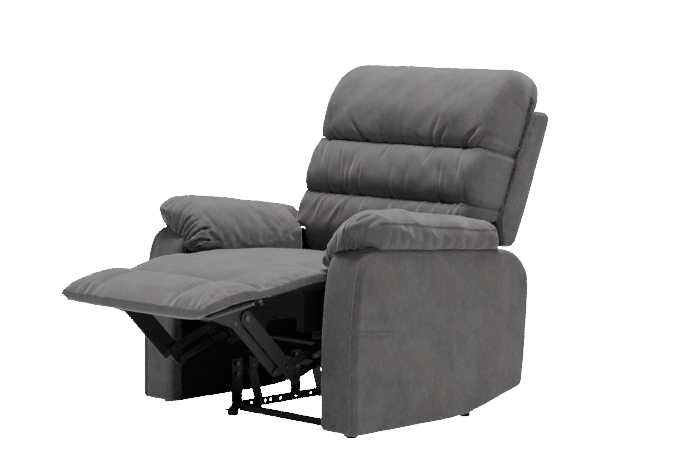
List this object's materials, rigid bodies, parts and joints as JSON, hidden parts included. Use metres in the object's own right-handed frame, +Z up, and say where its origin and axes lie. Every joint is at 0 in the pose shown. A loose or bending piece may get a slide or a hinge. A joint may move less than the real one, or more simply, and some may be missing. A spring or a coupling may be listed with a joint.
{
  "type": "recliner armchair",
  "caption": "Manual recliner armchair with padded arms, a three-roll back that tips as the seat slides forward, and a footrest folding on a steel link mechanism.",
  "frame": {"origin": "on the floor under the middle of the chair, as pictured with the footrest out", "axes": "+Z up, the sitter faces -Y, +X to the sitter's left"},
  "size_m": [0.868, 1.2898, 0.9897],
  "materials": {
    "microfibre": "brushed suede-like microfibre, charcoal with faint brown mottling",
    "plywood": "plain plywood and pine",
    "black_lining": "black non-woven cloth over plywood",
    "black_plastic": "black moulded",
    "black_steel": "black satin paint",
    "zinc_steel": "darkened zinc",
    "spring_steel": "oiled spring wire"
  },
  "bodies": {
    "base": {"base_rail_left": "black_steel", "base_rail_right": "black_steel", "base_front_tube": "black_steel", "base_rear_tube": "black_steel", "base_feet": "black_plastic", "arm_brackets_left": "black_steel", "arm_brackets_right": "black_steel", "arm_bolts": "zinc_steel", "arm_glides": "black_plastic", "arm_panel_left": "microfibre", "arm_panel_right": "microfibre", "arm_pad_left": "microfibre", "arm_pad_right": "microfibre", "arm_inner_pad_left": "microfibre", "arm_inner_pad_right": "microfibre", "release_bezel": "black_plastic", "rear_rail": "microfibre", "base_rivets": "zinc_steel"},
    "release": {"release_paddle": "microfibre"},
    "front_swing": {"front_swing_link_left": "black_steel", "front_swing_link_right": "black_steel"},
    "rear_swing": {"rear_swing_link_left": "black_steel", "rear_swing_link_right": "black_steel"},
    "recline_links": {"recline_link_left": "black_steel", "recline_link_right": "black_steel"},
    "seat": {"seat_plate_left": "black_steel", "seat_plate_right": "black_steel", "carriage_rivets": "zinc_steel", "carriage_tube": "black_steel", "seat_box": "black_lining", "seat_nose_board": "black_lining", "seat_springs": "spring_steel", "seat_cushion": "microfibre"},
    "backrest": {"back_bracket_left": "black_steel", "back_bracket_right": "black_steel", "back_frame": "plywood", "back_shell": "microfibre", "head_cushion": "microfibre", "middle_cushion": "microfibre", "lumbar_cushion": "microfibre"},
    "footrest": {"footrest_board": "microfibre", "footrest_bracket_left": "black_steel", "footrest_bracket_right": "black_steel", "footrest_rivets": "zinc_steel", "bridge_pad": "microfibre", "footrest_pad": "microfibre"},
    "front_links": {"front_ottoman_link_left": "black_steel", "front_ottoman_link_right": "black_steel", "front_link_rivets": "zinc_steel"},
    "rear_links": {"rear_ottoman_link_left": "black_steel", "rear_ottoman_link_right": "black_steel"},
    "upper_links": {"upper_ottoman_link_left": "black_steel", "upper_ottoman_link_right": "black_steel"},
    "lower_links": {"lower_ottoman_link_left": "black_steel", "lower_ottoman_link_right": "black_steel"},
    "drive": {"drive_tube": "black_steel", "drive_crank_left": "black_steel", "drive_crank_right": "black_steel"},
    "drive_links": {"drive_link_left": "black_steel", "drive_link_right": "black_steel"}
  },
  "joints": [
    {"name": "recline", "type": "hinge", "parent": "base", "child": "front_swing", "pos_m": [0, 0.023, 0.027], "axis": [1, 0, 0], "range_deg": [-6, 17.5]},
    {"name": "seat_level", "type": "hinge", "parent": "front_swing", "child": "seat", "pos_m": [0, -0.009, 0.14], "axis": [1, 0, 0], "range_deg": [-17.5, 6]},
    {"name": "rear_swing", "type": "hinge", "parent": "base", "child": "rear_swing", "pos_m": [0, 0.271, 0.027], "axis": [1, 0, 0], "range_deg": [-6, 17.5]},
    {"name": "recline_link", "type": "hinge", "parent": "base", "child": "recline_links", "pos_m": [0, 0.369, 0.027], "axis": [1, 0, 0], "range_deg": [-3.8, 11.08]},
    {"name": "back_recline", "type": "hinge", "parent": "seat", "child": "backrest", "pos_m": [0, 0.326, 0.375], "axis": [-1, 0, 0], "range_deg": [-8.23, 24]},
    {"name": "footrest_fold", "type": "hinge", "parent": "seat", "child": "footrest", "pos_m": [0, -0.264, 0.43], "axis": [1, 0, 0], "range_deg": [0, 81.6]},
    {"name": "front_link", "type": "hinge", "parent": "seat", "child": "front_links", "pos_m": [0, -0.122, 0.285], "axis": [1, 0, 0], "range_deg": [0, 81.6]},
    {"name": "rear_link", "type": "hinge", "parent": "seat", "child": "rear_links", "pos_m": [0, -0.09076, 0.2531], "axis": [1, 0, 0], "range_deg": [0, 81.6]},
    {"name": "upper_link", "type": "hinge", "parent": "front_links", "child": "upper_links", "pos_m": [0, -0.304, 0.22], "axis": [1, 0, 0], "range_deg": [-81.6, 0]},
    {"name": "lower_link", "type": "hinge", "parent": "front_links", "child": "lower_links", "pos_m": [0, -0.337, 0.209], "axis": [1, 0, 0], "range_deg": [-81.6, 0]},
    {"name": "drive_turn", "type": "hinge", "parent": "seat", "child": "drive", "pos_m": [0, -0.04, 0.238], "axis": [1, 0, 0], "range_deg": [0, 81.6]},
    {"name": "drive_link", "type": "hinge", "parent": "drive", "child": "drive_links", "pos_m": [0, -0.0965, 0.21782], "axis": [1, 0, 0], "range_deg": [-81.6, 0]},
    {"name": "release_pull", "type": "hinge", "parent": "base", "child": "release", "pos_m": [-0.422, -0.044, 0.431], "axis": [0, 1, 0], "range_deg": [0, 18], "stiffness_Nm_per_rad": 0.6, "springref_deg": -11.46}
  ],
  "couplings": [
    {"joint": "seat_level", "follows": "recline", "ratio": -1},
    {"joint": "rear_swing", "follows": "recline", "ratio": 1},
    {"joint": "recline_link", "follows": "recline", "ratio": 0.633},
    {"joint": "back_recline", "follows": "recline", "ratio": 1.3714},
    {"joint": "front_link", "follows": "footrest_fold", "ratio": 1},
    {"joint": "rear_link", "follows": "footrest_fold", "ratio": 1},
    {"joint": "upper_link", "follows": "footrest_fold", "ratio": -1},
    {"joint": "lower_link", "follows": "footrest_fold", "ratio": -1},
    {"joint": "drive_turn", "follows": "footrest_fold", "ratio": 1},
    {"joint": "drive_link", "follows": "footrest_fold", "ratio": -1}
  ]
}
